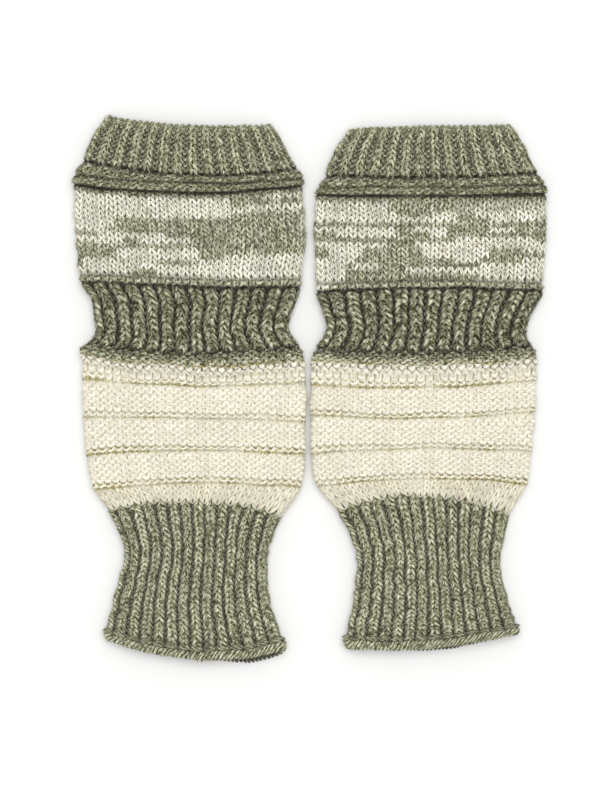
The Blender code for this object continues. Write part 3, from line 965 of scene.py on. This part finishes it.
def liningMesh(side, table):
    end = table["end"] - lining["endRows"]
    rows = np.append(np.arange(lining["topRows"], end, 1.0), end)
    loops = [liningLoop(table, row, inner) for inner in (False, True) for row in rows]
    points, column, over = (np.concatenate(parts) for parts in zip(*loops))
    count, rings = len(loops[0][0]), len(rows)
    row = np.tile(np.repeat(rows, count), 2)
    faces, places = [], []

    def addWall(first, second, turnedRound, place):
        # faces between two loops of points, and their places on the bake map
        for k in range(count):
            after = (k + 1) % count
            corners = [(first + k, k, 0), (first + after, k + 1, 0),
                       (second + after, k + 1, 1), (second + k, k, 1)]
            corners = corners[::-1] if turnedRound else corners
            faces.append([corner[0] for corner in corners])
            places.extend(place(across / count, up) for _, across, up in corners)

    foot, height = lining["wallMap"]
    for inner in (0, 1):
        for ring in range(rings - 1):
            at = (inner * rings + ring) * count
            onMap = lambda across, up: ((inner + across) / 2, foot + height * (ring + up) / (rings - 1))
            addWall(at, at + count, not inner, onMap)
    topEnd, wristEnd, height = lining["endMap"]
    for ring, foot in ((0, topEnd), (rings - 1, wristEnd)):
        onMap = lambda across, up: (across, foot + height * up)
        addWall(ring * count, (rings + ring) * count, ring > 0, onMap)
    mesh = bpy.data.meshes.new(side + "_cloth")
    mesh.from_pydata(((points + (*pairShift, 0)) * mm).tolist(), [], faces)
    writeMap(mesh, places)
    bandOf = np.searchsorted([band["firstRow"] for band in bands], row, side="right") - 1
    colour = np.array([linear(bands[at]["plies"][1]) for at in bandOf])
    paler = (0.5 + strayed("underside", column, row, cloth["seed"])) * (bandOf == bands.index(marlBand))
    colour = colour + (np.array(linear(marlBand["creamPlies"][1])) - colour) * paler[:, None]
    # painted shade: the lining's upper half, behind the stitches, is darkened
    colour[:, :3] *= np.where(over > 0.25, lining["paintedShadeBehind"], 1.0)[:, None]
    write(mesh, "dyeAndShade", colour, "FLOAT_COLOR")
    write(mesh, "column", column)
    write(mesh, "row", row)
    mesh.shade_smooth()
    return mesh


def liningMaterial():
    # plain knitting drawn by its nodes: two leaning legs for each stitch, with painted shade between them
    material, tree, shader = newMaterial("plain knitted cloth", lining["finish"])
    aside = maths(tree, "ABSOLUTE", maths(tree, "FRACT", attribute(tree, "column")) - 0.5)
    down = maths(tree, "FRACT", attribute(tree, "row"))
    near, wider, thin = lining["legs"]
    leg = maths(tree, "ABSOLUTE", aside - (near + down * wider))
    height = maths(tree, "MAXIMUM", 1 - leg * thin, 0.0) ** 0.5
    grain = noise(tree, add(tree, "ShaderNodeTexCoord", output="Object"), lining["grain"], 0.5)
    between, lighter = lining["light"]
    dullest, spread = lining["grainLight"]
    # painted shade between the legs, with the grain's own tone
    light = (between + height * lighter) * (dullest + grain * spread)
    colour = vectorMaths(tree, "SCALE", {0: attribute(tree, "dyeAndShade", "Color"), "Scale": light})
    height = height + grain * lining["grainHeight"]
    painted(tree, shader, colour, height, lining["bump"], lining["bumpDistance"])
    return material


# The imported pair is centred: one box, the left top rib's, says how far the cross lines are shifted
ribCorner = (-4.647, 122.33)
low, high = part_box("left_top_rib")
pairShift = (high.x / mm - ribCorner[0], high.y / mm - ribCorner[1])

tree = knitTree()
liningLook, hairs, fibre = liningMaterial(), fuzzTree(), fibreMaterial()
for number, side in enumerate(gloves):
    table = knittingTables(side)
    seed = 100 * number
    yarns = []
    for place, band in enumerate(bands):
        yarns.append(knitBand(side, table, band, tree, seed + place, band["node"] + "_yarn"))
    yarns.append(knitBand(side, table, castOnEdge, tree, seed + 50, "cast_on_edge_yarn"))
    yarns.append(knitBand(side, table, castOffChain, tree, seed + 60, "cast_off_chain_yarn"))
    mesh = liningMesh(side, table)
    mesh.materials.append(liningLook)
    tube = newObject(side + "_cloth", mesh)
    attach(tube, "root")
    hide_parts(*(side + "_" + band["node"] for band in bands))
    leftX, leftY, midY, rightX, rightY = table["line"]
    middleY = (leftY + rightY + 4 * midY) / 6
    loose = growFuzz(side, yarns, hairs, fibre, fuzz["seed"] + number)
    triangles = sum(len(piece.data.loops) - 2 * len(piece.data.polygons) for piece in yarns)
    print(side, "glove:", len(loose.data.polygons), "faces of loose fibre")
    print(side, "glove:", triangles, "triangles of yarn")


# The photograph's view: straight down, 0.45 mm to a pixel of 600 by 800
view = {"height": 1.2, "lens": 120.0, "sensor": 36.0, "reach": 20.0, "middle": (-3.6, -5.6)}
camera = newObject("camera", bpy.data.cameras.new("camera"))
camera.data.lens = view["lens"]
camera.data.sensor_width = view["sensor"]
camera.data.clip_end = view["reach"]
middleX, middleY = ((view["middle"][axis] + pairShift[axis]) * mm for axis in (0, 1))
camera.location = (middleX, middleY, view["height"])
bpy.context.scene.camera = camera

# Soft light from all round and from one large lamp, over a pale floor. Places and sizes are in metres.
studio = {
    "sky": 0.78,
    "key": 40.0,
    "keySize": 2.8,
    "keyPlace": (0.15, 0.5, 2.6),
    "floorHalf": 2,
    "floorHeight": -0.0004,
    "floorFinish": {"Base Color": linear((237, 237, 236)), "Roughness": 0.9},
}
lamp = newObject("key", bpy.data.lights.new("key", "AREA"))
lamp.data.shape = "DISK"
lamp.data.size = studio["keySize"]
lamp.data.energy = studio["key"]
lamp.location = studio["keyPlace"]
lamp.rotation_euler = (-lamp.location.normalized()).to_track_quat("-Z", "Y").to_euler()
world = bpy.data.worlds.new("soft light")
world.use_nodes = True
world.node_tree.nodes["Background"].inputs["Color"].default_value = (1, 1, 1, 1)
world.node_tree.nodes["Background"].inputs["Strength"].default_value = studio["sky"]
bpy.context.scene.world = world
bpy.context.scene.view_settings.view_transform = "Standard"

half, floorZ = studio["floorHalf"], studio["floorHeight"]
floorMesh = bpy.data.meshes.new("floor")
floorCorners = [(x * half, y * half, floorZ) for x, y in ((-1, -1), (1, -1), (1, 1), (-1, 1))]
floorMesh.from_pydata(floorCorners, [], [(0, 1, 2, 3)])
floorMesh.materials.append(newMaterial("pale floor", studio["floorFinish"])[0])
floor = newObject("floor", floorMesh)
